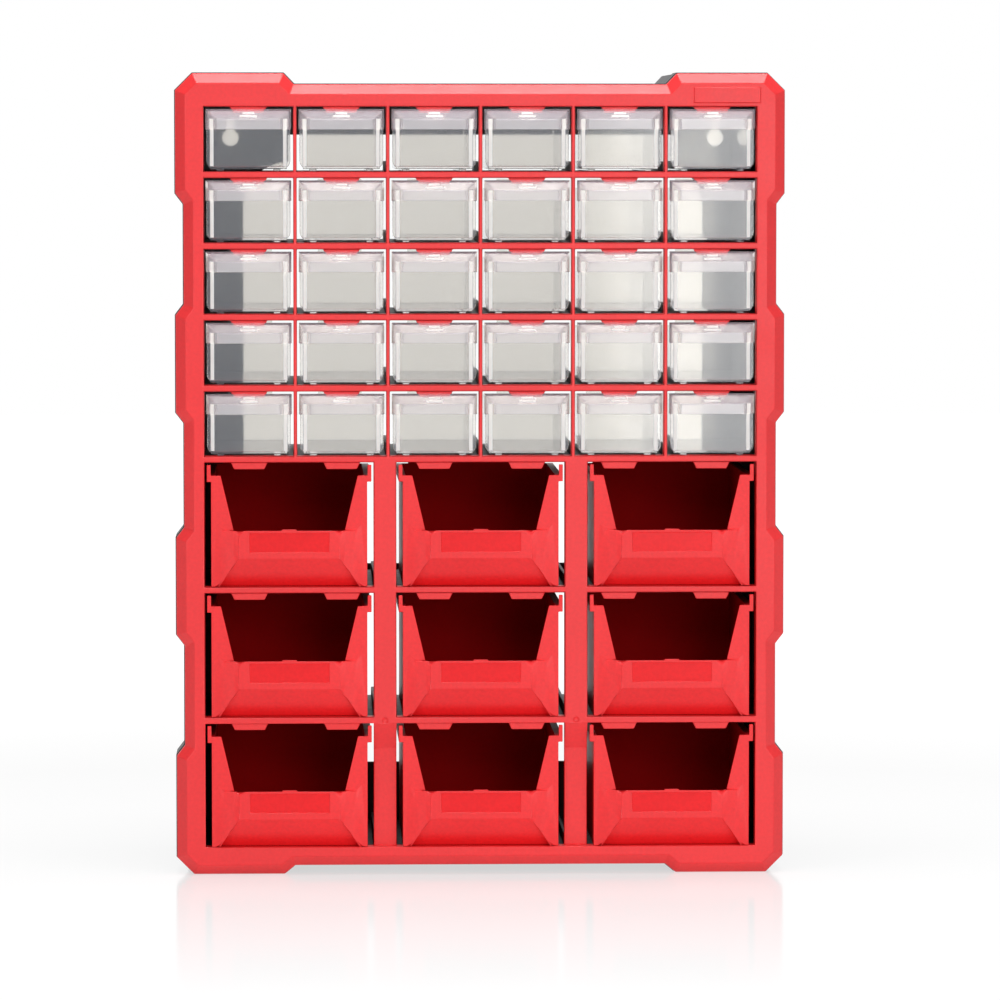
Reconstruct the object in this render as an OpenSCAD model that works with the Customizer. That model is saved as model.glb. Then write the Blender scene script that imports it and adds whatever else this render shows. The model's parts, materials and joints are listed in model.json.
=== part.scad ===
// Parts bin cabinet: small clear drawers over hopper-front bins, in a moulded
// front frame and a rear tub. Millimetres, +Z up, the front faces -Y, and the
// origin is the bottom centre of the whole cabinet.

/* [Small drawer cells] */
// Clear width of one small cell
cell_w = 54.8; // [48:0.1:64]
// Clear height of one small cell
cell_h = 39.7; // [36:0.1:52]
// Thickness of the uprights between small cells
divider_t = 2.2; // [1.6:0.1:3.4]
// Thickness of the horizontal rails
rail_t = 4; // [3:0.1:6]

/* [Bin cells] */
// Clear height of one bin cell
bin_cell_h = 76.6; // [72:0.1:96]
// Width of the channel columns between bins
column_w = 14; // [9:0.5:18]

/* [Front frame] */
// Frame border beside the cells, out to the face of the side pads
border_side = 17.6; // [16.5:0.1:26]
// Frame border above the cells
border_top = 20.5; // [19.5:0.1:30]
// Frame border below the cells
border_bottom = 17.2; // [16:0.1:26]
// Depth of the frame's skirt and of its rails
frame_d = 12; // [10.5:0.5:16]
// Wall thickness of the front frame
frame_wall = 2.4; // [1.8:0.1:2.8]
// Width and depth of the bevel round the frame
bevel = 6.2; // [4:0.1:6.6]
// How far the centre of each lowest column is set back
column_setback = 8; // [3:0.5:9]

/* [Edge pads] */
// Step from a side pad down to the recessed side
side_pad_step = 5; // [2:0.1:5.4]
// Step from a top pad down to the recessed top edge
top_pad_step = 6.8; // [3:0.1:7.4]
// Step from a foot up to the recessed bottom edge
foot_step = 5.3; // [3:0.1:6]
// Length of a pad's sloping end
pad_slope = 6.5; // [4:0.5:9]
// Width of the corner pads, along the top and bottom
corner_pad_w = 66.5; // [40:0.5:90]
// Height of the corner pads, along the sides
corner_pad_h = 73.5; // [50:0.5:84]
// Height of the two middle pads on each side
mid_pad_h = 60; // [30:0.5:70]
// Space between the two middle pads
mid_pad_space = 77.2; // [50:0.5:90]
// Corner cut of the cabinet's outline
corner_cut = 10.5; // [8:0.5:14]

/* [Label pad] */
// Width of the bare pad at the top right
label_w = 41; // [20:0.5:44]
// Height of the bare pad
label_h = 9.4; // [5:0.1:10]
// How far the pad stands proud
label_proud = 0.6; // [0.3:0.1:1.2]
// Distance from the pad to the side of the cabinet
label_side = 15.3; // [13:0.1:18]

/* [Stop tabs] */
// Width of a stop tab at its root
tab_w = 22.7; // [16:0.1:26]
// Width of a stop tab at its foot
tab_foot_w = 18.6; // [12:0.1:21]
// How far a stop tab hangs down
tab_h = 4.2; // [3:0.1:4.8]
// Thickness of a stop tab
tab_t = 2.6; // [2:0.1:3.4]

/* [Rear tub] */
// Depth from the front face of the frame to the back of the tub
cabinet_d = 153; // [120:1:220]
// Wall thickness of the tub
tub_wall = 2.5; // [2:0.1:3]
// Depth of the tub's padded collar behind the frame
collar_d = 31; // [18:0.5:50]
// How far the collar stands out past the frame
collar_lip = 0.6; // [0.3:0.1:1]
// Thickness of the shelf plates
shelf_t = 2.5; // [2:0.1:3]
// Height of the guide ribs on the shelves
guide_h = 6; // [3:0.5:9]
// Thickness of the guide ribs
guide_t = 2; // [1.4:0.1:2.2]

/* [Rear windows] */
// Band of the back panel beside its windows
window_side = 35.5; // [34:0.5:44]
// Band of the back panel below its windows
window_bottom = 54; // [35:0.5:70]
// Band of the back panel above its windows
window_top = 37.5; // [28:0.5:46]
// Height of the crossbar's lower edge above the floor
crossbar_z = 165; // [150:0.5:175]
// Height of the crossbar
crossbar_h = 17; // [8:0.5:30]
// Width of the pad round each keyhole, past the side band
keyhole_pad_w = 29; // [18:0.5:40]
// Gap between the windows and the rear edges of the shelves
shelf_relief = 5; // [2:0.5:8]

/* [Wall hanging keyholes] */
// Distance between the two keyholes
keyhole_spacing = 310; // [290:1:316]
// Radius of the keyhole's round opening
keyhole_r = 5.2; // [4:0.1:6]
// Width of the keyhole's slot
keyhole_slot_w = 5.2; // [4:0.1:6.4]
// Rise of the slot above the round opening
keyhole_rise = 9.5; // [8:0.5:12]
// Distance of the keyholes below the top of the cabinet
keyhole_drop = 39.4; // [34:0.1:44]

/* [Small drawer] */
// Clearance beside the drawer front
front_gap = 1.75; // [1:0.05:2.2]
// Clearance above a drawer or a bin
top_gap = 1.4; // [1:0.1:1.8]
// Running gap under a drawer or a bin
run_gap = 0.2; // [0.1:0.05:0.4]
// Gap between a stop tab and what it stops
stop_gap = 0.6; // [0.4:0.1:1.2]
// Clearance behind a drawer or a bin
rear_gap = 13; // [6:0.5:20]
// Thickness of the drawer front
front_t = 1.6; // [1.2:0.1:2.2]
// How far the drawer front sits behind the frame's face
front_setback = 0.5; // [0.2:0.1:1]
// Corner radius at the foot of the drawer front
front_r = 5; // [2:0.5:8]
// Wall thickness of the tray
tray_wall = 1.3; // [1:0.1:1.8]
// Distance from the edge of the drawer front to the tray
tray_inset = 2.15; // [1.4:0.05:3]
// Height of the tray's rim below the top of the drawer front
rim_drop = 5.8; // [5.4:0.1:9]
// Width of the raised stop at the rear of the tray
stop_w = 28; // [20:0.5:36]
// Height of the two skids under the tray
skid_h = 1.3; // [0.8:0.1:2]
// Width of a skid
skid_w = 4.3; // [3:0.1:6]
// Distance between the centres of the skids
skid_spacing = 34.8; // [28:0.2:38]

/* [Drawer pull] */
// Height of the pull's hood
pull_h = 12.5; // [10:0.1:16]
// How far the hood stands out from the frame's face
pull_proud = 7; // [5:0.1:12]
// Height of the hood's front face
pull_face_h = 6.3; // [4:0.1:8]
// Width of the hood's bevelled sides
pull_side = 7; // [4:0.1:10]
// How far the hood overhangs the drawer front at each side
pull_over = 0.6; // [0.2:0.1:0.8]
// Wall thickness of the hood
pull_wall = 1.2; // [1:0.1:1.6]

/* [Hopper bin] */
// Clearance beside the bin's flanges
bin_gap = 1.35; // [1:0.05:2]
// How far the flange stands out from the bin's side
flange_w = 2.6; // [1.5:0.1:3.4]
// Height of the flange
flange_h = 3.8; // [2:0.1:6]
// Height of the bin's side rim below the top of its cell
bin_rim_drop = 8; // [7:0.1:10]
// Wall thickness of the bin
bin_wall = 2; // [1.6:0.1:2.4]
// Height of the bin's low front wall
bin_front_h = 34.8; // [33:0.1:42]
// Half width of the bin's mouth at the low front wall
mouth_foot = 34.1; // [28:0.1:38]
// Half width of the bin's mouth at the rim
mouth_top = 42.1; // [38:0.1:43]
// Width of the ears on the front posts
ear_w = 2.4; // [1.8:0.1:3]
// How far the middle of the bin front stands out
bulge = 4; // [2:0.1:5.5]
// Half width of the bulge at its root
bulge_root = 44; // [40:0.5:45]
// Half width of the bulge's flat face
bulge_face = 31; // [28:0.5:34]
// Height of the grip ridge
ridge_z = 17.6; // [12:0.1:19]
// How far the grip runs back at the bottom
grip_d = 7; // [4:0.5:12]
// Half width of the grip at the ridge
grip_top = 30.9; // [24:0.1:31]
// Half width of the grip at the bottom
grip_foot = 43.5; // [34:0.1:44]
// Width of the label recess
recess_w = 49; // [30:0.5:56]
// Height of the label recess
recess_h = 12; // [8:0.1:13]
// Depth of the label recess
recess_d = 0.6; // [0.3:0.1:0.9]
// Height of the label recess above the grip ridge
recess_rise = 3.9; // [3:0.1:4.6]
// Width of the small bump in the middle of the front edge
bump_w = 9; // [5:0.5:14]
// Height of the small bump
bump_h = 0.8; // [0.4:0.1:1.4]
// Width of the notches at the corners of the rear wall
notch_w = 6; // [4:0.5:9]

/* [Hidden] */
DRAWER_ROWS = 5;
DRAWER_COLS = 6;
BIN_ROWS = 3;
BIN_COLS = 3;
RAILS = DRAWER_ROWS + BIN_ROWS - 1;

function drawer_name(r, c) = str("drawer_r", r, "_c", c);
function bin_name(r, c) = str("bin_r", r, "_c", c);
function rail_name(k) = str("rail_", k);

red = [0.86, 0.09, 0.12];
charcoal = [0.10, 0.10, 0.11];
clear = [0.86, 0.88, 0.90, 0.45];

eps = 0.01;     // overlap of solids that are fused, and of cuts past a face
root = 1;       // how deep a pad or a cut runs into the wall that it meets
far = 1000;     // longer than any piece

// Places across the cabinet
open_w = DRAWER_COLS * cell_w + (DRAWER_COLS - 1) * divider_t;
pitch = cell_w + divider_t;
bin_cell_w = (open_w - (BIN_COLS - 1) * column_w) / BIN_COLS;
bin_pitch = bin_cell_w + column_w;
pad_x = open_w / 2 + border_side;           // face of the side pads
side_x = pad_x - side_pad_step;             // recessed side
function drawer_x(c) = (c - (DRAWER_COLS + 1) / 2) * pitch;
function bin_x(c) = (c - (BIN_COLS + 1) / 2) * bin_pitch;

// Heights
bins_top = border_bottom + BIN_ROWS * bin_cell_h + (BIN_ROWS - 1) * rail_t;
function bin_z(r) = border_bottom + (BIN_ROWS - r) * (bin_cell_h + rail_t);
function drawer_z(r) = bins_top + rail_t + (DRAWER_ROWS - r) * (cell_h + rail_t);
function rail_top(k) = k <= DRAWER_ROWS ? drawer_z(k) : bin_z(k - DRAWER_ROWS);
open_top = drawer_z(1) + cell_h;
cabinet_h = open_top + border_top;
mid_z = cabinet_h / 2;

// Depths: the frame's face is set so that the origin is mid-depth
face_y = (pull_proud - cabinet_d) / 2;
inner_d = cabinet_d - tub_wall;             // from the frame's face to the back panel
box_d = inner_d - rear_gap;                 // from the frame's face to a drawer's rear
tab_y = front_setback + front_t + stop_gap; // front of the stop tabs
travel = box_d - max(tray_wall, bin_wall) - tab_y - tab_t - stop_gap;
echo(slide_travel_mm = travel);

// A slab from y0 to y1 whose outline is drawn across (x) and up (z)
module upright(y0, y1) {
    translate([0, y1, 0]) rotate([90, 0, 0]) linear_extrude(y1 - y0) children();
}

// A bar of half width w whose outline is drawn in depth (y) and up (z)
module crosswise(w) {
    translate([-w, 0, 0]) rotate([90, 0, 90]) linear_extrude(2 * w) children();
}

// A block between two corners
module block(a, b) {
    translate(a) cube(b - a);
}

// The outline of a symmetric shape from the points of its right half
function mirrored(right) = concat(right,
    [for (i = [len(right) - 1 : -1 : 0]) [-right[i].x, right[i].y]]);

// The right half of the outline at the top and the bottom pads, out to x
function foot_points(x) = [
    [pad_x - corner_pad_w - pad_slope, foot_step], [pad_x - corner_pad_w, 0],
    [x - corner_cut, 0], [x, corner_cut]];
function head_points(x) = [
    [x, cabinet_h - corner_cut], [x - corner_cut, cabinet_h],
    [pad_x - corner_pad_w, cabinet_h],
    [pad_x - corner_pad_w - pad_slope, cabinet_h - top_pad_step]];

// A middle pad that stands out of the side between z0 and z1
function side_pad(z0, z1) = [[side_x, z0 - pad_slope], [pad_x, z0], [pad_x, z1], [side_x, z1 + pad_slope]];

padded_outline = mirrored(concat(
    foot_points(pad_x),
    [[pad_x, corner_pad_h], [side_x, corner_pad_h + pad_slope]],
    side_pad(mid_z - mid_pad_space / 2 - mid_pad_h, mid_z - mid_pad_space / 2),
    side_pad(mid_z + mid_pad_space / 2, mid_z + mid_pad_space / 2 + mid_pad_h),
    [[side_x, cabinet_h - corner_pad_h - pad_slope], [pad_x, cabinet_h - corner_pad_h]],
    head_points(pad_x)));
plain_outline = mirrored(concat(foot_points(side_x), head_points(side_x)));

// An outline moved inwards by d (outwards where d is negative)
function unit(v) = v / norm(v);
function inward(a, b) = let (u = unit(b - a)) [-u.y, u.x];
function inset(p, d) = [for (i = [0 : len(p) - 1])
    let (before = inward(p[(i + len(p) - 1) % len(p)], p[i]),
         after = inward(p[i], p[(i + 1) % len(p)]))
    p[i] + d * (before + after) / (1 + before * after)];

// A convex outline's slab from y0 to y1, its front edge bevelled all round: the
// overlap of one bevelled half-space for each side
module bevelled(p, size, y0, y1) {
    intersection_for (i = [0 : len(p) - 1]) {
        along = p[(i + 1) % len(p)] - p[i];
        translate([p[i].x, 0, p[i].y]) rotate([0, -atan2(along.y, along.x), 0])
            crosswise(far) polygon([[y0, size], [y0 + size, 0], [y1, 0], [y1, far], [y0, far]]);
    }
}

// Convex pads, each reaching well inside the frame's core. A corner pad's heights
// are counted from its foot or head, and a middle pad's from mid-height.
reach = 3 * bevel;
function run_in(step) = pad_slope * (step + reach) / step;
function corner_pad(step) = [
    [side_x - reach, -corner_pad_h - run_in(side_pad_step)], [pad_x, -corner_pad_h],
    [pad_x, -corner_cut], [pad_x - corner_cut, 0], [pad_x - corner_pad_w, 0],
    [pad_x - corner_pad_w - run_in(step), -step - reach]];
middle_pad = [
    [side_x - reach, mid_pad_space / 2 - run_in(side_pad_step)], [pad_x, mid_pad_space / 2],
    [pad_x, mid_pad_space / 2 + mid_pad_h],
    [side_x - reach, mid_pad_space / 2 + mid_pad_h + run_in(side_pad_step)]];
frame_core = [
    [-side_x, foot_step], [side_x, foot_step],
    [side_x, cabinet_h - top_pad_step], [-side_x, cabinet_h - top_pad_step]];

module with_mirrored(v) {
    children();
    mirror(v) children();
}

// The frame as a bevelled block, set in by a wall
module frame_block(wall, size, y0, y1) {
    bevelled(inset(frame_core, wall), size, y0, y1);
    with_mirrored([1, 0, 0]) {
        translate([0, 0, cabinet_h]) bevelled(inset(corner_pad(top_pad_step), wall), size, y0, y1);
        mirror([0, 0, 1]) bevelled(inset(corner_pad(foot_step), wall), size, y0, y1);
        translate([0, 0, mid_z]) with_mirrored([0, 0, 1]) bevelled(inset(middle_pad, wall), size, y0, y1);
    }
}

// The frame's border: a bevelled front with a skirt outside and a wall round the cells
module bezel() {
    inner_bevel = bevel - frame_wall * (2 - sqrt(2));
    difference() {
        frame_block(0, bevel, 0, frame_d);
        difference() {
            frame_block(frame_wall, inner_bevel, frame_wall, frame_d + root);
            block([-open_w / 2 - frame_wall, -far, border_bottom - frame_wall],
                  [open_w / 2 + frame_wall, far, open_top + frame_wall]);
        }
        block([-open_w / 2, -far, border_bottom], [open_w / 2, far, open_top]);
    }
    block([pad_x - label_side - label_w, -label_proud, open_top + (border_top - bevel - label_h) / 2],
          [pad_x - label_side, root, open_top + (border_top - bevel + label_h) / 2]);
}

// The part of the border between two corners
module bezel_part(a, b) {
    color(red) translate([0, face_y, 0]) intersection() {
        bezel();
        block(a, b);
    }
}

bezel_side_x = open_w / 2 - frame_wall;     // where the border's sides meet its top and bottom
module bezel_left() {
    bezel_part([-far, -far, -far], [-bezel_side_x, far, far]);
}
module bezel_right() {
    bezel_part([bezel_side_x, -far, -far], [far, far, far]);
}
module bezel_top() {
    bezel_part([-bezel_side_x, -far, mid_z], [bezel_side_x, far, far]);
}
module bezel_bottom() {
    bezel_part([-bezel_side_x, -far, -far], [bezel_side_x, far, mid_z]);
}

// One horizontal rail of the frame
module rail(k) {
    color(red) translate([0, face_y, rail_top(k) - rail_t])
        block([-open_w / 2, 0, 0], [open_w / 2, frame_d, rail_t]);
}

// The stop tabs, one for each small cell's width, under the frame's top and each rail
module stop_tabs() {
    color(red) for (z = concat([open_top], [for (k = [1 : RAILS]) rail_top(k) - rail_t]))
        for (c = [1 : DRAWER_COLS])
            translate([drawer_x(c), face_y, z]) upright(tab_y, tab_y + tab_t) polygon([
                [-tab_w / 2, 0], [-tab_foot_w / 2, -tab_h], [tab_foot_w / 2, -tab_h], [tab_w / 2, 0]]);
}

// The uprights between the small cells, one for each cell's height
module drawer_dividers() {
    color(red) for (r = [1 : DRAWER_ROWS], c = [1 : DRAWER_COLS - 1])
        translate([drawer_x(c) + pitch / 2, face_y, drawer_z(r)])
            block([-divider_t / 2, 0, 0], [divider_t / 2, frame_d, cell_h]);
}

// A channel column between bins, open to the rear, its face set back below its head
module bin_column(setback) {
    head = 2 * setback;
    difference() {
        crosswise(column_w / 2)
            polygon([[0, bin_cell_h], [setback, bin_cell_h - head], [setback, 0],
                     [frame_d, 0], [frame_d, bin_cell_h]]);
        crosswise(column_w / 2 - frame_wall)
            polygon([[frame_wall, bin_cell_h + eps], [setback + frame_wall, bin_cell_h - head],
                     [setback + frame_wall, -eps], [far, -eps], [far, bin_cell_h + eps]]);
    }
}

module bin_columns() {
    color(red) for (r = [1 : BIN_ROWS], c = [1 : BIN_COLS - 1])
        translate([bin_x(c) + bin_pitch / 2, face_y, bin_z(r)])
            bin_column(r == BIN_ROWS ? column_setback : 0);
}

// The tub's tube: a padded collar behind the frame, then plain walls to the back panel
module tub_walls() {
    collar = inset(padded_outline, -collar_lip);
    collar_end = frame_d + collar_d;
    difference() {
        union() {
            intersection() {
                upright(frame_d, collar_end) polygon(collar);
                block([-far, 0, 0], [far, far, far]);   // its feet end level with the frame's
            }
            upright(frame_d, inner_d) polygon(plain_outline);
        }
        upright(frame_d - 1, collar_end - tub_wall) polygon(inset(collar, tub_wall));
        upright(frame_d - 1, inner_d + 1) polygon(inset(plain_outline, tub_wall));
    }
}

// The part of the tub's walls between two corners
module tub_part(a, b) {
    color(charcoal) translate([0, face_y, 0]) intersection() {
        tub_walls();
        block(a, b);
    }
}

tub_corner_x = side_x - corner_cut - tub_wall;  // where the side walls meet top and bottom
module tub_left() {
    tub_part([-far, 0, -far], [-tub_corner_x, far, far]);
}
module tub_right() {
    tub_part([tub_corner_x, 0, -far], [far, far, far]);
}
module tub_top() {
    tub_part([-tub_corner_x, 0, mid_z], [tub_corner_x, far, far]);
}
module tub_bottom() {
    tub_part([-tub_corner_x, 0, -far], [tub_corner_x, far, mid_z]);
}

// One keyhole: a round opening with a slot rising from it
module keyhole() {
    circle(keyhole_r, $fn = 48);
    translate([-keyhole_slot_w / 2, 0]) square([keyhole_slot_w, keyhole_rise]);
    translate([0, keyhole_rise]) circle(keyhole_slot_w / 2, $fn = 32);
}

// A window of half width w from z0 to z1
module window(w, z0, z1) {
    translate([-w, z0]) square([2 * w, z1 - z0]);
}

module tub_back() {
    w = side_x - window_side;
    top = cabinet_h - window_top;
    pad_foot = top - keyhole_pad_w * 1.6;
    color(charcoal) translate([0, face_y, 0]) upright(inner_d, cabinet_d) difference() {
        polygon(plain_outline);
        window(w, window_bottom, crossbar_z);
        window(w, crossbar_z + crossbar_h, pad_foot);
        window(w - keyhole_pad_w, pad_foot - eps, top);
        for (s = [-1, 1]) {
            translate([s * (w - keyhole_pad_w), pad_foot]) circle(keyhole_pad_w, $fn = 64);
            translate([s * keyhole_spacing / 2, cabinet_h - keyhole_drop]) keyhole();
        }
    }
}

// A shelf plate flush with the rail top at height z, from the frame back to the back
// panel, its rear edge relieved across the windows
module shelf_plate(z) {
    w = side_x - tub_wall;
    window_w = side_x - window_side;
    translate([0, face_y, z]) difference() {
        block([-w, frame_d, -shelf_t], [w, inner_d, 0]);
        block([-window_w, inner_d - shelf_relief, -far], [window_w, far, far]);
    }
}

// A guide rib on a shelf
module guide(x, z) {
    translate([x, face_y, z]) block([-guide_t / 2, frame_d, -eps], [guide_t / 2, box_d, guide_h]);
}

module drawer_shelves() {
    color(charcoal) for (r = [1 : DRAWER_ROWS]) {
        shelf_plate(drawer_z(r));
        for (c = [1 : DRAWER_COLS - 1]) guide(drawer_x(c) + pitch / 2, drawer_z(r));
    }
}

module bin_shelves() {
    color(charcoal) for (r = [1 : BIN_ROWS]) {
        shelf_plate(bin_z(r));
        for (c = [1 : BIN_COLS - 1], s = [-1, 1])
            guide(bin_x(c) + bin_pitch / 2 + s * (column_w - guide_t) / 2, bin_z(r));
    }
}

// The points of an arc in straight steps
function arc(centre, r, from, to) = [for (i = [0 : 4])
    let (a = from + (to - from) * i / 4) centre + r * [cos(a), sin(a)]];

// Small drawer
front_w = cell_w - 2 * front_gap;
front_top = cell_h - top_gap;
pull_w = front_w + 2 * pull_over;
tray_w = front_w - 2 * tray_inset;
tray_z = run_gap + skid_h;

// The bevelled hood of the pull, set in by a wall: its side profile crossed with its plan
module pull_hood(wall, foot) {
    w = pull_w / 2 - wall * sqrt(2);
    side = pull_w / 2 - pull_side - wall / 2;
    face = wall - pull_proud;
    intersection() {
        crosswise(front_w) polygon([
            [front_setback, foot], [face, foot], [face, front_top - pull_h + pull_face_h - wall / 2],
            [front_setback, front_top - wall * sqrt(2)]]);
        linear_extrude(far) polygon([
            [-w, front_setback], [-side, face], [side, face], [w, front_setback]]);
    }
}

module drawer_front() {
    w = front_w / 2;
    upright(front_setback, front_setback + front_t) polygon(concat(
        arc([w - front_r, tray_z + front_r], front_r, -90, 0),
        [[w, front_top], [-w, front_top]],
        arc([front_r - w, tray_z + front_r], front_r, 180, 270)));
}

module drawer_shape() {
    w = tray_w / 2;
    rim = front_top - rim_drop;
    difference() {
        union() {
            drawer_front();
            pull_hood(0, front_top - pull_h);
            block([-pull_w / 2, front_setback, front_top - pull_h],
                  [pull_w / 2, front_setback + front_t, front_top]);
            block([-w, front_setback + eps, tray_z], [w, box_d, rim]);
            block([-stop_w / 2, box_d - tray_wall, tray_z], [stop_w / 2, box_d, front_top]);
            for (s = [-1, 1]) translate([s * skid_spacing / 2, 0, 0])
                block([-skid_w / 2, front_setback + front_t, run_gap], [skid_w / 2, box_d - tray_wall, tray_z + eps]);
        }
        pull_hood(pull_wall, front_top - pull_h - root);
        block([tray_wall - w, front_setback + front_t, tray_z + tray_wall],
              [w - tray_wall, box_d - tray_wall, far]);
    }
}

module drawer(r, c) {
    color(clear) translate([drawer_x(c), face_y, drawer_z(r)]) drawer_shape();
}

// Hopper bin
bin_w = bin_cell_w - 2 * bin_gap - 2 * flange_w;
bin_rim = bin_cell_h - bin_rim_drop;
bin_top = bin_cell_h - top_gap;

// The space of the grip under the ridge, grown by a wall where the bin's inside goes round it
module grip_space(wall) {
    intersection() {
        crosswise(far) polygon([
            [-far, -far], [grip_d + wall, -far], [grip_d + wall, run_gap],
            [wall - bulge, ridge_z + wall], [-far, ridge_z + wall]]);
        upright(-far, far) polygon([
            [-grip_foot - wall, -far], [grip_foot + wall, -far], [grip_foot + wall, run_gap],
            [grip_top + wall, ridge_z + wall], [-grip_top - wall, ridge_z + wall],
            [-grip_foot - wall, run_gap]]);
    }
}

// The bulge of the front, up to height z, set in by a wall
module front_bulge(wall, z) {
    translate([0, 0, run_gap]) linear_extrude(z - run_gap) polygon([
        [wall / 2 - bulge_root, wall + eps], [wall / 2 - bulge_face, wall - bulge],
        [bulge_face - wall / 2, wall - bulge], [bulge_root - wall / 2, wall + eps]]);
}

module bin_shape() {
    w = bin_w / 2;
    difference() {
        union() {
            block([-w, 0, run_gap], [w, box_d, bin_rim]);
            front_bulge(0, bin_front_h);
            block([-w - flange_w, 0, bin_rim - flange_h], [w + flange_w, box_d, bin_rim]);
            block([notch_w - w, box_d - bin_wall, run_gap], [w - notch_w, box_d, bin_top]);
            for (s = [-1, 1]) translate([s * (w + flange_w - ear_w / 2), 0, 0])
                block([-ear_w / 2, 0, bin_rim - eps], [ear_w / 2, front_setback + front_t, bin_top]);
        }
        difference() {
            union() {
                block([bin_wall - w, bin_wall, run_gap + bin_wall], [w - bin_wall, box_d - bin_wall, far]);
                front_bulge(bin_wall, bin_front_h + eps);
            }
            grip_space(bin_wall);
            block([-far, -far, -far], [far, far, run_gap + bin_wall]);
        }
        grip_space(0);
        upright(-far, bin_wall + eps) polygon([
            [-mouth_foot, bin_front_h], [mouth_foot, bin_front_h], [mouth_top, bin_rim],
            [mouth_top, far], [-mouth_top, far], [-mouth_top, bin_rim]]);
        block([-recess_w / 2, -far, ridge_z + recess_rise],
              [recess_w / 2, recess_d - bulge, ridge_z + recess_rise + recess_h]);
    }
    block([-bump_w / 2, -bulge, bin_front_h - eps], [bump_w / 2, bin_wall - bulge, bin_front_h + bump_h]);
}

module bin(r, c) {
    color(red) translate([bin_x(c), face_y, bin_z(r)]) bin_shape();
}

bezel_left();
bezel_right();
bezel_top();
bezel_bottom();
for (k = [1 : RAILS])
    rail(k);
stop_tabs();
drawer_dividers();
bin_columns();
tub_left();
tub_right();
tub_top();
tub_bottom();
tub_back();
drawer_shelves();
bin_shelves();
for (r = [1 : DRAWER_ROWS], c = [1 : DRAWER_COLS])
    drawer(r, c);
for (r = [1 : BIN_ROWS], c = [1 : BIN_COLS])
    bin(r, c);
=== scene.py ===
"""Looks of the parts bin cabinet: a moulded red front frame and a charcoal tub, with
small clear drawers above red hopper bins. Metres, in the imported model's frame."""
import json
import math

import bmesh
import bpy
from mathutils import Matrix, Vector

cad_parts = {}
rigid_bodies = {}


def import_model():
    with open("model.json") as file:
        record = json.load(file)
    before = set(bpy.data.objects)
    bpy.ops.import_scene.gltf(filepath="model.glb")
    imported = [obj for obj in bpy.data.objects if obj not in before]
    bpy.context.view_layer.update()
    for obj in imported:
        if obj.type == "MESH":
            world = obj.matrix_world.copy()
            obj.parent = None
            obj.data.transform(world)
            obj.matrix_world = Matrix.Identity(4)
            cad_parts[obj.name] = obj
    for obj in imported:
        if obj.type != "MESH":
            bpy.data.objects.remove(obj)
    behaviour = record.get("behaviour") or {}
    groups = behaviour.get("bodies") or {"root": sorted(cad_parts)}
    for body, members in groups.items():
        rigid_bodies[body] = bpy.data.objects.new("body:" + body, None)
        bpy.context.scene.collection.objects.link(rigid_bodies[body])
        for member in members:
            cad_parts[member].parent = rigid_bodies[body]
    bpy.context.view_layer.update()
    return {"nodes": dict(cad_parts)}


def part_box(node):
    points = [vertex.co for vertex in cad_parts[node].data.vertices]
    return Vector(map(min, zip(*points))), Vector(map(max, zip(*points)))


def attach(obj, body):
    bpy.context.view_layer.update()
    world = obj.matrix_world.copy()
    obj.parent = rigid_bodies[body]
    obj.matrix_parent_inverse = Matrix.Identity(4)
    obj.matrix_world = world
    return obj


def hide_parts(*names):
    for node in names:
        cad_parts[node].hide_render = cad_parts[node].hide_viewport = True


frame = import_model()

MM = 0.001
DRAWER_ROWS, DRAWER_COLS = 5, 6
BIN_ROWS, BIN_COLS = 3, 3
RAILS = DRAWER_ROWS + BIN_ROWS - 1

scene = bpy.context.scene
scene.view_settings.view_transform = "Standard"


# ---------------------------------------------------------------- node trees

class Tree:
    """A short way to write a material's or the world's nodes."""

    def __init__(self, owner):
        owner.use_nodes = True
        self.nodes = owner.node_tree.nodes
        self.links = owner.node_tree.links
        self.nodes.clear()

    def add(self, kind, **inputs):
        """A node of that kind; an input is a value, or another node's output."""
        node = self.nodes.new(kind)
        for name, value in inputs.items():
            socket = node.inputs[name.replace("_", " ")]
            if isinstance(value, bpy.types.NodeSocket):
                self.links.new(value, socket)
            else:
                socket.default_value = value
        return node

    def noise(self, scale, detail=2.0, roughness=0.5):
        """Noise in the object's own space."""
        where = self.nodes.new("ShaderNodeTexCoord").outputs["Object"]
        node = self.add("ShaderNodeTexNoise", Vector=where, Scale=scale, Detail=detail,
                        Roughness=roughness)
        return node.outputs["Fac"]

    def remap(self, value, low, high, to_low=0.0, to_high=1.0):
        """A value between low and high, stretched to lie between to_low and to_high."""
        node = self.nodes.new("ShaderNodeMapRange")
        self.links.new(value, node.inputs["Value"])
        node.inputs["From Min"].default_value = low
        node.inputs["From Max"].default_value = high
        node.inputs["To Min"].default_value = to_low
        node.inputs["To Max"].default_value = to_high
        return node.outputs["Result"]

    def blend(self, factor, first, second):
        """A mix of two colours, each a triple or another node's output."""
        node = self.nodes.new("ShaderNodeMix")
        node.data_type = "RGBA"
        self.links.new(factor, node.inputs[0])
        for socket, colour in ((node.inputs[6], first), (node.inputs[7], second)):
            if isinstance(colour, tuple):
                socket.default_value = (*colour, 1.0)
            else:
                self.links.new(colour, socket)
        return node.outputs[2]

    def math(self, operation, first, second):
        node = self.nodes.new("ShaderNodeMath")
        node.operation = operation
        for socket, value in zip(node.inputs, (first, second)):
            if isinstance(value, bpy.types.NodeSocket):
                self.links.new(value, socket)
            else:
                socket.default_value = value
        return node.outputs[0]

    def mixed(self, factor, first, second):
        """A mix of two shader nodes."""
        node = self.nodes.new("ShaderNodeMixShader")
        if isinstance(factor, bpy.types.NodeSocket):
            self.links.new(factor, node.inputs[0])
        else:
            node.inputs[0].default_value = factor
        self.links.new(first.outputs[0], node.inputs[1])
        self.links.new(second.outputs[0], node.inputs[2])
        return node

    def finish(self, surface, kind="ShaderNodeOutputMaterial"):
        output = self.nodes.new(kind)
        self.links.new(surface, output.inputs["Surface"])


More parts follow.
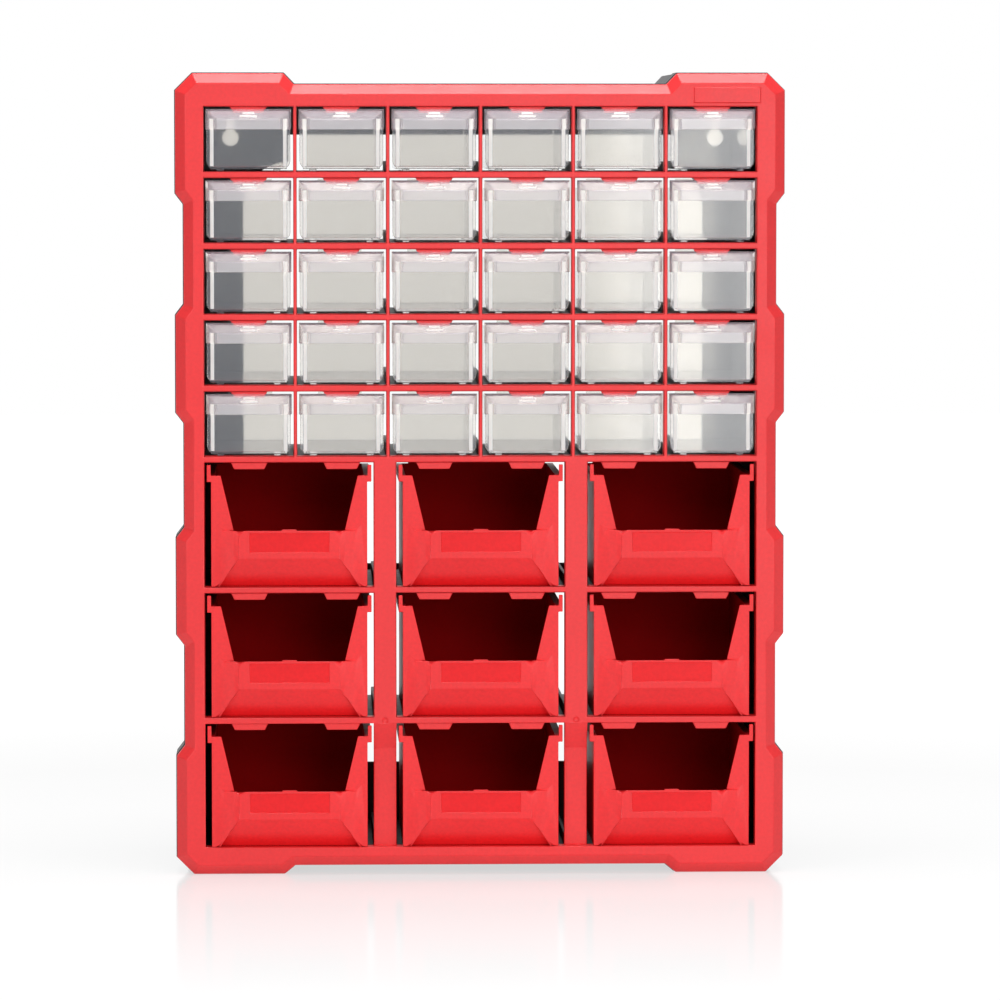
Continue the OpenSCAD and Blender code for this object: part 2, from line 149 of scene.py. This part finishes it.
def new_material(name):
    material = bpy.data.materials.new(name)
    return material, Tree(material)


# ----------------------------------------------------------------- materials

PLASTIC_IOR = 1.49
GRAIN_DEPTH = 0.12 * MM      # of the texture that the mould leaves
FRAME_RED = (0.80, 0.022, 0.026)
BIN_RED = (0.80, 0.014, 0.018)
# painted shade: the bins' insides are a darker red than their outsides
INSIDE_PAINTED_SHADE_RED = (0.50, 0.0015, 0.003)
CHARCOAL = (0.020, 0.020, 0.024)
CLEAR_TINT = (0.86, 0.835, 0.785)
CLEAR_VEIL = (0.72, 0.82, 1.0)
HOOD_VEIL = (0.92, 0.85, 0.95)
# painted light: the whiter veil of the hood's upright face
FACE_PAINTED_LIGHT_VEIL = (0.93, 0.92, 0.97)
# painted highlight: near-white veil at the tray's wall ends and on the dashes
PAINTED_HIGHLIGHT_VEIL = (0.99, 0.99, 0.97)
HAZE = 0.070                 # share of milky scatter in the clear plastic
HOOD_HAZE = 0.20             # in the hood of the pull
FACE_PAINTED_LIGHT_HAZE = 0.30             # in the upright face of the hood: painted light, thicker and whiter than on the slope so that the face shows lighter
PAINTED_HIGHLIGHT_HAZE = 0.90              # painted highlights: white at the tray's wall ends, and on the dashes
TRANSLUCENT = 0.4            # share of the milky scatter that shows light from behind
LAMP_FILM = (0.90, 0.89, 0.87)          # what a drawer's surface lets through of a lamp
VEIL_EDGE = 0.12 * MM        # half the soft edge of a milky region
RIPPLE_DEPTH = 0.5 * MM      # of the faint waves in the clear plastic


def moulded_plastic(name, colour, roughness, grain, tone=0.06, specular=0.5):
    """Opaque plastic from a spark-textured mould: fine grain, faint flow clouds, and
    a little uneven gloss."""
    material, t = new_material(name)
    clouds = t.math("MULTIPLY", t.math("ADD", t.noise(9.0, 3.0), t.noise(480.0)), 0.5)
    clouds = t.remap(clouds, 0.35, 0.65)
    dark = tuple(c * (1 - tone) for c in colour)
    light = tuple(min(1.0, c * (1 + tone)) for c in colour)
    base = t.blend(clouds, dark, light)
    fine = t.noise(1900.0, 2.0, 0.6)
    coarse = t.noise(420.0)
    height = t.math("ADD", fine, t.math("MULTIPLY", coarse, 0.6))
    bump = t.add("ShaderNodeBump", Height=height, Strength=grain, Distance=GRAIN_DEPTH)
    gloss = t.remap(t.noise(60.0, 4.0, 0.65), 0.25, 0.75, roughness - 0.05, roughness + 0.07)
    shader = t.add("ShaderNodeBsdfPrincipled", Base_Color=base, Roughness=gloss,
                   Normal=bump.outputs["Normal"])
    shader.inputs["IOR"].default_value = PLASTIC_IOR
    shader.inputs["Specular IOR Level"].default_value = specular
    t.finish(shader.outputs[0])
    return material


def box_mask(t, low, high, soft):
    """1 inside a box in object space, 0 outside, with a soft edge; a None end is open."""
    place = t.nodes.new("ShaderNodeSeparateXYZ")
    t.links.new(t.nodes.new("ShaderNodeTexCoord").outputs["Object"], place.inputs[0])
    mask = None
    for value, first, last in zip(place.outputs, low, high):
        for end, sign in ((first, 1.0), (last, -1.0)):
            if end is not None:
                edge = t.remap(value, end - sign * soft, end + sign * soft)
                mask = edge if mask is None else t.math("MULTIPLY", mask, edge)
    return mask


def clear_plastic(name, tint, veil, regions):
    """Clear moulded polystyrene with a thin milky veil, thicker in some regions, each a box, a share of
    scatter and a colour; these regions also hold painted light and painted highlights. Lamps shine
    through it."""
    material, t = new_material(name)
    ripple = t.noise(30.0, 2.0, 0.4)
    bump = t.add("ShaderNodeBump", Height=ripple, Strength=0.05, Distance=RIPPLE_DEPTH)
    clouds = t.remap(t.noise(22.0), 0.3, 0.7)
    base = t.blend(clouds, tuple(c * 0.985 for c in tint), tint)
    gloss = t.remap(t.noise(75.0, 3.0), 0.3, 0.7, 0.04, 0.08)
    clear = t.add("ShaderNodeBsdfPrincipled", Base_Color=base, Roughness=gloss,
                  Normal=bump.outputs["Normal"])
    clear.inputs["Transmission Weight"].default_value = 1.0
    clear.inputs["IOR"].default_value = PLASTIC_IOR
    front = t.nodes.new("ShaderNodeBsdfDiffuse")
    back = t.nodes.new("ShaderNodeBsdfTranslucent")
    colour, amount = veil, HAZE
    for low, high, haze, region_veil in regions:
        inside = box_mask(t, low, high, VEIL_EDGE)
        colour = t.blend(inside, colour, region_veil)
        amount = t.math("MAXIMUM", amount, t.math("MULTIPLY", inside, haze))
    for scatter in (front, back):
        t.links.new(colour, scatter.inputs["Color"])
    # the scatter carries the milky veil, and the painted light and painted highlights of the regions
    scatter_and_painted_light = t.mixed(TRANSLUCENT, front, back)
    body = t.mixed(amount, clear, scatter_and_painted_light)
    film = t.add("ShaderNodeBsdfTransparent")
    film.inputs["Color"].default_value = (*LAMP_FILM, 1.0)
    lamps = t.nodes.new("ShaderNodeLightPath").outputs["Is Shadow Ray"]
    t.finish(t.mixed(lamps, body, film).outputs[0])
    return material


frame_red = moulded_plastic("frame_red_plastic", FRAME_RED, roughness=0.36, grain=0.20)
bin_red = moulded_plastic("bin_red_plastic", BIN_RED, roughness=0.42, grain=0.22, tone=0.08)
tub_charcoal = moulded_plastic("tub_charcoal_plastic", CHARCOAL, roughness=0.48, grain=0.30,
                               tone=0.15)
# painted shade: the bins' insides, darker red and matt
bin_inside_painted_shade = moulded_plastic("bin_inside_painted_shade_plastic", INSIDE_PAINTED_SHADE_RED, roughness=0.60, grain=0.10,
                             specular=0.05)
bin_label = moulded_plastic("bin_label_plastic", BIN_RED, roughness=0.16, grain=0.04,
                            specular=0.25)


# ------------------------------------------------------------ mesh from CAD

GRID = 0.001 * MM       # points of CAD meshes are snapped to this, so that faces meet exactly
MERGE = 0.01 * MM       # points closer than this are one point


def cad_copy(node):
    """A welded bmesh of a CAD node, with flat faces."""
    bm = bmesh.new()
    bm.from_mesh(frame["nodes"][node].data)
    for face in bm.faces:
        face.smooth = False
    for vert in bm.verts:
        vert.co = [round(c / GRID) * GRID for c in vert.co]
    bmesh.ops.remove_doubles(bm, verts=bm.verts, dist=MERGE)
    return bm


def new_mesh(name, bm, *materials):
    """A mesh of the bmesh, which is freed."""
    mesh = bpy.data.meshes.new(name)
    bm.to_mesh(mesh)
    bm.free()
    for material in materials:
        mesh.materials.append(material)
    return mesh


def new_object(name, bm, *materials):
    obj = bpy.data.objects.new(name, new_mesh(name, bm, *materials))
    scene.collection.objects.link(obj)
    return obj


def baked(obj):
    """The object's mesh with its modifiers applied."""
    evaluated = obj.evaluated_get(bpy.context.evaluated_depsgraph_get())
    bm = bmesh.new()
    bm.from_mesh(evaluated.to_mesh())
    evaluated.to_mesh_clear()
    return bm


def tidied(bm):
    """Doubled points merged and slivers removed."""
    bmesh.ops.remove_doubles(bm, verts=bm.verts, dist=MERGE)
    bmesh.ops.dissolve_degenerate(bm, edges=bm.edges, dist=MERGE)
    return bm


def fused(name, base, others, operation="UNION"):
    """One closed solid from bmeshes that touch or overlap."""
    body = new_object(name, base)
    tools = bpy.data.collections.new(f"{name}_tools")
    for i, bm in enumerate(others):
        tool = new_object(f"{name}_tool_{i}", bm)
        scene.collection.objects.unlink(tool)
        tools.objects.link(tool)
    scene.collection.children.link(tools)
    join = body.modifiers.new("join", "BOOLEAN")
    join.operation = operation
    join.solver = "EXACT"
    join.operand_type = "COLLECTION"
    join.collection = tools
    result = tidied(baked(body))
    for obj in [body, *tools.objects]:
        bpy.data.objects.remove(obj)
    bpy.data.collections.remove(tools)
    return result


def round_edges(bm, radius, segments, low, high=180.0, chosen=lambda edge: True):
    """Rounds the edges whose faces turn by an angle between low and high degrees, and
    shades the rounding smooth."""
    edges = [e for e in bm.edges if len(e.link_faces) == 2 and chosen(e)
             and math.radians(low) < e.calc_face_angle(0.0) < math.radians(high)]
    made = bmesh.ops.bevel(bm, geom=edges, offset=radius, offset_type="OFFSET", segments=segments,
                           profile=0.5, affect="EDGES", clamp_overlap=False, material=-1)
    for face in made["faces"]:
        face.smooth = True


# --------------------------------------------------------------- the pieces

HOOD_TOP = 38.3 * MM         # heights above the drawer's underside
HOOD_FACE = 32.1 * MM
HOOD_FOOT = 25.8 * MM
HOOD_DEPTH = 7.5 * MM        # from the hood's face back to the drawer's front
WALL_ENDS = (21.3 * MM, 23.5 * MM)      # where the tray's wall ends carry painted highlights, from the middle
DASHES = ((7.1 * MM, 35.3 * MM), (10.5 * MM, 33.4 * MM))     # width, height of the middle
DASH_DEEP, DASH_HIGH = 0.8 * MM, 0.5 * MM
HOOD_SKIN = 1.5 * MM         # how far back the hood's face counts as its face
BAR_FOOT = 3.0 * MM          # height at which the painted highlights at the wall ends start
BAR_REACH = 10.0 * MM        # how far back they go
DASH_BAND = 0.35 * MM        # half the height of the painted highlight band at a dash
DASH_REACH = 8.0 * MM        # how far back that band goes

BIN_POST = 4.5 * MM          # from a bin's side to the inner side of its wall
BIN_WALL = 1.9 * MM          # just under the thickness of its floor and ends
POST_DEPTH = 5.0 * MM        # from its front to just behind the posts
BULGE_DEPTH = 4.05 * MM      # from its front to just behind the bulge
RECESS = (0.5 * MM, 0.7 * MM)           # where the label recess's floor lies, from the front
CREASE_HIGH = 12.0 * MM      # the bulge's upright creases are longer than this,
CREASE_LEAN = 0.6 * MM       # and lean less than this
OUTSIDE, INSIDE, LABEL = 0, 1, 2        # a bin's materials

TUB_ROUND = 0.35 * MM        # radii of rounded edges
FRAME_ROUND = 0.45 * MM
OPENING_ROUND = 0.9 * MM
DRAWER_ROUND = 0.25 * MM
BIN_ROUND = 0.35 * MM
BULGE_ROUND = 3.6 * MM
COLUMN_X = 59.0 * MM         # middle of a bin column, from the cabinet's middle
MARK_RADIUS = 2.0 * MM       # of the round marks on the columns
MARK_DROP = 0.2 * MM         # how far they sit below the rail's middle
MARK_BALL = 2.5 * MM         # radius of the ball that hollows them
CHAMFER = 177.0 * MM         # the frame's lower corners end where |x| - z is this

BEZEL = [f"bezel_{side}" for side in ("top", "bottom", "left", "right")]
RAIL_NODES = [f"rail_{k}" for k in range(1, RAILS + 1)]
FRONT = BEZEL + RAIL_NODES + ["stop_tabs", "drawer_dividers", "bin_columns"]
TUB = ["tub_back", "tub_left", "tub_right", "tub_top", "tub_bottom", "drawer_shelves",
       "bin_shelves"]


def moulding(name, nodes, material, radius, before=None, after=None):
    """CAD nodes of one real moulding, fused into one piece with rounded edges. What comes
    before the rounding changes the bmesh, and what comes after returns another."""
    meshes = [cad_copy(node) for node in nodes]
    bm = fused(name, meshes[0], meshes[1:])
    if before:
        before(bm)
    round_edges(bm, radius, 2, 25.0)
    if after:
        bm = after(bm)
    obj = new_object(name, bm, material)
    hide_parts(*nodes)
    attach(obj, "cabinet")


def cut_corners(bm):
    """The frame's lower corners cut back to their chamfer, past which a tiny step stands
    where two CAD nodes meet."""
    for vert in bm.verts:
        vert.co.z = max(vert.co.z, abs(vert.co.x) - CHAMFER)
    tidied(bm)


def round_openings(bm):
    """The front edges of the rails and dividers round the cells, rounded wide, down to
    the top of the lowest rail. The lower corners are cut first."""
    cut_corners(bm)
    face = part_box("drawer_dividers")[0].y
    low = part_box(RAIL_NODES[-1])[1].z
    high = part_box("drawer_dividers")[1].z
    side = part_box(RAIL_NODES[0])[1].x

    def round_a_cell(edge):
        return all(abs(v.co.y - face) < 0.01 * MM and abs(v.co.x) < side + 0.1 * MM
                   and low - 0.1 * MM < v.co.z < high + 0.1 * MM for v in edge.verts)

    round_edges(bm, OPENING_ROUND, 3, 80.0, 100.0, round_a_cell)


def dimpled(bm):
    """The two shallow round marks on the bin columns, at the height of the lowest rail."""
    rail_low, rail_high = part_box(RAIL_NODES[-1])
    face = rail_low.y
    up = (rail_low.z + rail_high.z) / 2 - MARK_DROP
    before = math.sqrt(MARK_BALL ** 2 - MARK_RADIUS ** 2)
    balls = []
    for side in (-1, 1):
        ball = bmesh.new()
        bmesh.ops.create_uvsphere(ball, u_segments=64, v_segments=32, radius=MARK_BALL)
        bmesh.ops.translate(ball, vec=(side * COLUMN_X, face - before, up), verts=ball.verts)
        for polygon in ball.faces:
            polygon.smooth = True
        balls.append(ball)
    return fused("front_frame", bm, balls, "DIFFERENCE")


def copies(mesh, names, first):
    """One copy of a mesh in the place of each CAD node, riding on its body."""
    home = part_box(first)[0]
    for name in names:
        obj = bpy.data.objects.new(f"{name}_shown", mesh)
        obj.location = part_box(name)[0] - home
        scene.collection.objects.link(obj)
        bpy.context.view_layer.update()
        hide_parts(name)
        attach(obj, f"{name}_body")


def turned_block(centre, size, slope):
    """A block of that size, turned by slope about the x axis."""
    bm = bmesh.new()
    bmesh.ops.create_cube(bm, size=1.0)
    place = Matrix.Translation(centre) @ Matrix.Rotation(slope, 4, "X") @ Matrix.Diagonal((*size, 1.0))
    bmesh.ops.transform(bm, matrix=place, verts=bm.verts)
    return bm


def grid_names(kind, rows, columns):
    return [f"{kind}_r{r}_c{c}" for r in range(1, rows + 1) for c in range(1, columns + 1)]


def dash_blocks(low, middle):
    """The two small raised dashes on the slope of a drawer's pull."""
    slope = math.atan2(HOOD_TOP - HOOD_FACE, HOOD_DEPTH)
    blocks = []
    for width, up in DASHES:
        share = (up - HOOD_FACE) / (HOOD_TOP - HOOD_FACE)
        centre = Vector((middle, low.y + share * HOOD_DEPTH, low.z + up))
        blocks.append(turned_block(centre, (width, DASH_DEEP, DASH_HIGH), slope))
    return blocks


def milky_and_painted_light_regions(low, middle):
    """Where a drawer is milky and where light is painted on it: the pull's hood is milky, its upright
    face painted lighter than the slope, and the ends of the tray's walls and the dashes carry painted
    highlights."""
    hood_foot, hood_face = low.z + HOOD_FOOT, low.z + HOOD_FACE
    # the hood's milky veil, and its upright face painted lighter than the slope
    regions = [((None, None, hood_foot), (None, low.y + HOOD_DEPTH, None), HOOD_HAZE, HOOD_VEIL),
               ((None, None, hood_foot), (None, low.y + HOOD_SKIN, hood_face), FACE_PAINTED_LIGHT_HAZE, FACE_PAINTED_LIGHT_VEIL)]
    # painted highlights: white bars at the ends of the tray's walls
    for side in (-1, 1):
        first, last = sorted(middle + side * x for x in WALL_ENDS)
        regions.append(((first, None, low.z + BAR_FOOT), (last, low.y + BAR_REACH, hood_face),
                        PAINTED_HIGHLIGHT_HAZE, PAINTED_HIGHLIGHT_VEIL))
    # painted highlights: a white band on each raised dash
    for width, up in DASHES:
        left, right, height = middle - width / 2, middle + width / 2, low.z + up
        regions.append(((left, None, height - DASH_BAND),
                        (right, low.y + DASH_REACH, height + DASH_BAND),
                        PAINTED_HIGHLIGHT_HAZE, PAINTED_HIGHLIGHT_VEIL))
    return regions


def drawers():
    """The clear drawers, all of one shape."""
    names = grid_names("drawer", DRAWER_ROWS, DRAWER_COLS)
    low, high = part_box(names[0])
    middle = (low.x + high.x) / 2
    bm = tidied(fused("drawer_union", tidied(cad_copy(names[0])), dash_blocks(low, middle)))
    round_edges(bm, DRAWER_ROUND, 2, 60.0)
    clear = clear_plastic("drawer_clear_plastic", CLEAR_TINT, CLEAR_VEIL, milky_and_painted_light_regions(low, middle))
    copies(new_mesh("drawer", bm, clear), names, names[0])


def soften_bulge(bm, front):
    """The slight upright edges of a bin's front rounded wide, so that its bulge swells softly."""

    def upright(edge):
        run = edge.verts[1].co - edge.verts[0].co
        return max(v.co.y for v in edge.verts) < front + BULGE_DEPTH \
            and abs(run.z) > CREASE_HIGH and abs(run.x) < CREASE_LEAN

    round_edges(bm, BULGE_ROUND, 8, 8.0, 30.0, upright)


def mark_surfaces(bm, low, high):
    """A bin's faces given to its materials: matt and darker inside, where the darker red is painted
    shade, smooth in the label recess, and the plain one elsewhere."""
    for face in bm.faces:
        inner = [low.x + BIN_POST < v.co.x < high.x - BIN_POST and low.z + BIN_WALL < v.co.z
                 and low.y + BIN_WALL < v.co.y < high.y - BIN_WALL for v in face.verts]
        recess = [RECESS[0] < v.co.y - low.y < RECESS[1] for v in face.verts]
        behind = face.normal.y > -0.5 or face.calc_center_median().y > low.y + POST_DEPTH
        if all(inner) and behind:
            face.material_index = INSIDE
        elif all(recess):
            face.material_index = LABEL
        else:
            face.material_index = OUTSIDE


def bins():
    """The red hopper bins, all of one shape."""
    names = grid_names("bin", BIN_ROWS, BIN_COLS)
    low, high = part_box(names[0])
    bm = tidied(cad_copy(names[0]))
    mark_surfaces(bm, low, high)
    soften_bulge(bm, low.y)
    round_edges(bm, BIN_ROUND, 2, 25.0)
    for vert in bm.verts:
        vert.co.z = max(vert.co.z, low.z)
    copies(new_mesh("bin", bm, bin_red, bin_inside_painted_shade, bin_label), names, names[0])


moulding("rear_tub", TUB, tub_charcoal, TUB_ROUND)
moulding("front_frame", FRONT, frame_red, FRAME_ROUND, round_openings, dimpled)
drawers()
bins()


# -------------------------------------------------------------------- stage

AMBIENT = 0.20          # level of the world's light on the object
FRONT_MIRRORED = 0.55   # level that mirrors show of the world in front
MIRROR = 0.25           # how much of the floor is a mirror at the feet, to the camera
MIRROR_ROUGHNESS = 0.12
MIRROR_FRONT = (-0.60, -0.10)           # where along y it fades in, in front of the cabinet
MIRROR_BACK = (0.60, 0.10)              # and behind it
FLOOR_HALF = 6.0
FLOOR_DROP = 0.05 * MM  # the floor lies this far under the feet
FLOOR_MATT = 0.85       # grey of the floor for the light it throws back
FLOOR_SEEN = 0.22       # grey of the floor to look at, on top of a glow
FLOOR_GLOW = 0.80       # the glow near the cabinet, which rises to 1
GLOW_RISE = (0.6, 1.6)  # between these distances from the middle

LAMP_AIM = (0.0, 0.0, 0.25)
LAMPS = [               # name, place, point it faces, width, height, watts
    ("overhead", (0.0, -0.2, 2.1), (0.0, -0.1, 0.25), 1.2, 0.8, 29.0),
    ("front", (0.0, -3.9, 1.9), LAMP_AIM, 2.4, 1.6, 27.0),
    ("left", (-2.4, -3.0, 0.95), LAMP_AIM, 1.2, 1.7, 23.0),
    ("far_right", (2.4, -3.0, 0.95), LAMP_AIM, 1.2, 1.7, 23.0),
    ("right", (1.0, -3.9, 0.77), (1.0, 0.0, 0.77), 1.4, 1.5, 26.0),
]

CAMERA_PLACE = (-0.117, -3.673, 0.453)
CAMERA_YAW = 2.05       # degrees to the right
CAMERA_PITCH = -3.515   # degrees up
CAMERA_LENS = 210.9     # millimetres, on a sensor as wide as this
CAMERA_SENSOR = 36.0
CAMERA_END = 50.0       # metres that it sees


def sight_rays(t):
    """1 where the camera, a mirror or glass looks, 0 for all other light."""
    path = t.nodes.new("ShaderNodeLightPath")
    return t.math("MAXIMUM", path.outputs["Is Camera Ray"],
                  t.math("MAXIMUM", path.outputs["Is Glossy Ray"], path.outputs["Is Transmission Ray"]))


def world():
    """White to look at, softer in reflections of what lies in front and at the sides,
    and soft on the object."""
    studio = bpy.data.worlds.new("studio")
    scene.world = studio
    t = Tree(studio)
    path = t.nodes.new("ShaderNodeLightPath")
    way = t.nodes.new("ShaderNodeSeparateXYZ")
    t.links.new(t.nodes.new("ShaderNodeTexCoord").outputs["Generated"], way.inputs[0])
    around = t.remap(way.outputs["Y"], 0.0, 0.3, FRONT_MIRRORED, 1.0)
    mirrored = t.math("MULTIPLY", path.outputs["Is Glossy Ray"], around)
    seen = t.math("MAXIMUM", path.outputs["Is Camera Ray"], path.outputs["Is Transmission Ray"])
    level = t.math("MAXIMUM", t.math("MAXIMUM", seen, mirrored), AMBIENT)
    white = t.add("ShaderNodeBackground", Color=(1.0, 1.0, 1.0, 1.0), Strength=level)
    t.finish(white.outputs[0], "ShaderNodeOutputWorld")


def floor_white():
    """White to look at, matt for all other light, and faintly a mirror to the camera
    where the cabinet stands."""
    material, t = new_material("floor_white")
    where = t.nodes.new("ShaderNodeTexCoord").outputs["Object"]
    distance = t.nodes.new("ShaderNodeVectorMath")
    distance.operation = "LENGTH"
    t.links.new(where, distance.inputs[0])
    matt = t.add("ShaderNodeBsdfDiffuse", Color=(FLOOR_MATT, FLOOR_MATT, FLOOR_MATT, 1.0))
    faint = t.add("ShaderNodeBsdfDiffuse", Color=(FLOOR_SEEN, FLOOR_SEEN, FLOOR_SEEN, 1.0))
    white = t.add("ShaderNodeEmission", Color=(1.0, 1.0, 1.0, 1.0),
                  Strength=t.remap(distance.outputs["Value"], *GLOW_RISE, FLOOR_GLOW, 1.0))
    seen = t.nodes.new("ShaderNodeAddShader")
    t.links.new(faint.outputs[0], seen.inputs[0])
    t.links.new(white.outputs[0], seen.inputs[1])
    body = t.mixed(sight_rays(t), matt, seen)
    sheen = t.nodes.new("ShaderNodeBsdfAnisotropic")
    sheen.inputs["Color"].default_value = (1.0, 1.0, 1.0, 1.0)
    sheen.inputs["Roughness"].default_value = MIRROR_ROUGHNESS
    place = t.nodes.new("ShaderNodeSeparateXYZ")
    t.links.new(where, place.inputs[0])
    before = t.remap(place.outputs["Y"], *MIRROR_FRONT, 0.0, MIRROR)
    behind = t.remap(place.outputs["Y"], *MIRROR_BACK)
    camera = t.nodes.new("ShaderNodeLightPath").outputs["Is Camera Ray"]
    mirror = t.math("MULTIPLY", t.math("MULTIPLY", before, behind), camera)
    t.finish(t.mixed(mirror, body, sheen).outputs[0])
    return material


def floor():
    """A flat sheet just under the feet."""
    bm = bmesh.new()
    bmesh.ops.create_grid(bm, x_segments=1, y_segments=1, size=FLOOR_HALF)
    bmesh.ops.translate(bm, vec=(0.0, 0.0, -FLOOR_DROP), verts=bm.verts)
    new_object("floor", bm, floor_white())


def area_light(name, where, aim, width, height, power):
    data = bpy.data.lights.new(name, "AREA")
    data.shape = "RECTANGLE"
    data.size, data.size_y = width, height
    data.energy = power
    light = bpy.data.objects.new(name, data)
    light.location = where
    light.rotation_mode = "QUATERNION"
    light.rotation_quaternion = (Vector(aim) - Vector(where)).to_track_quat("-Z", "Y")
    scene.collection.objects.link(light)


def lights():
    """A bright panel straight above, one high in front, one at each side of the front,
    and one low at the right that shows in the drawers on that side."""
    for lamp in LAMPS:
        area_light(*lamp)


def camera():
    """Almost straight on, a little left of the middle and level with the top drawers."""
    data = bpy.data.cameras.new("camera")
    data.sensor_width = CAMERA_SENSOR
    data.lens = CAMERA_LENS
    data.clip_end = CAMERA_END
    cam = bpy.data.objects.new("camera", data)
    cam.location = CAMERA_PLACE
    yaw, pitch = math.radians(CAMERA_YAW), math.radians(CAMERA_PITCH)
    level = math.cos(pitch)
    look = Vector((math.sin(yaw) * level, math.cos(yaw) * level, math.sin(pitch)))
    cam.rotation_mode = "QUATERNION"
    cam.rotation_quaternion = look.to_track_quat("-Z", "Y")
    scene.collection.objects.link(cam)
    scene.camera = cam


world()
floor()
lights()
camera()

bpy.context.view_layer.update()
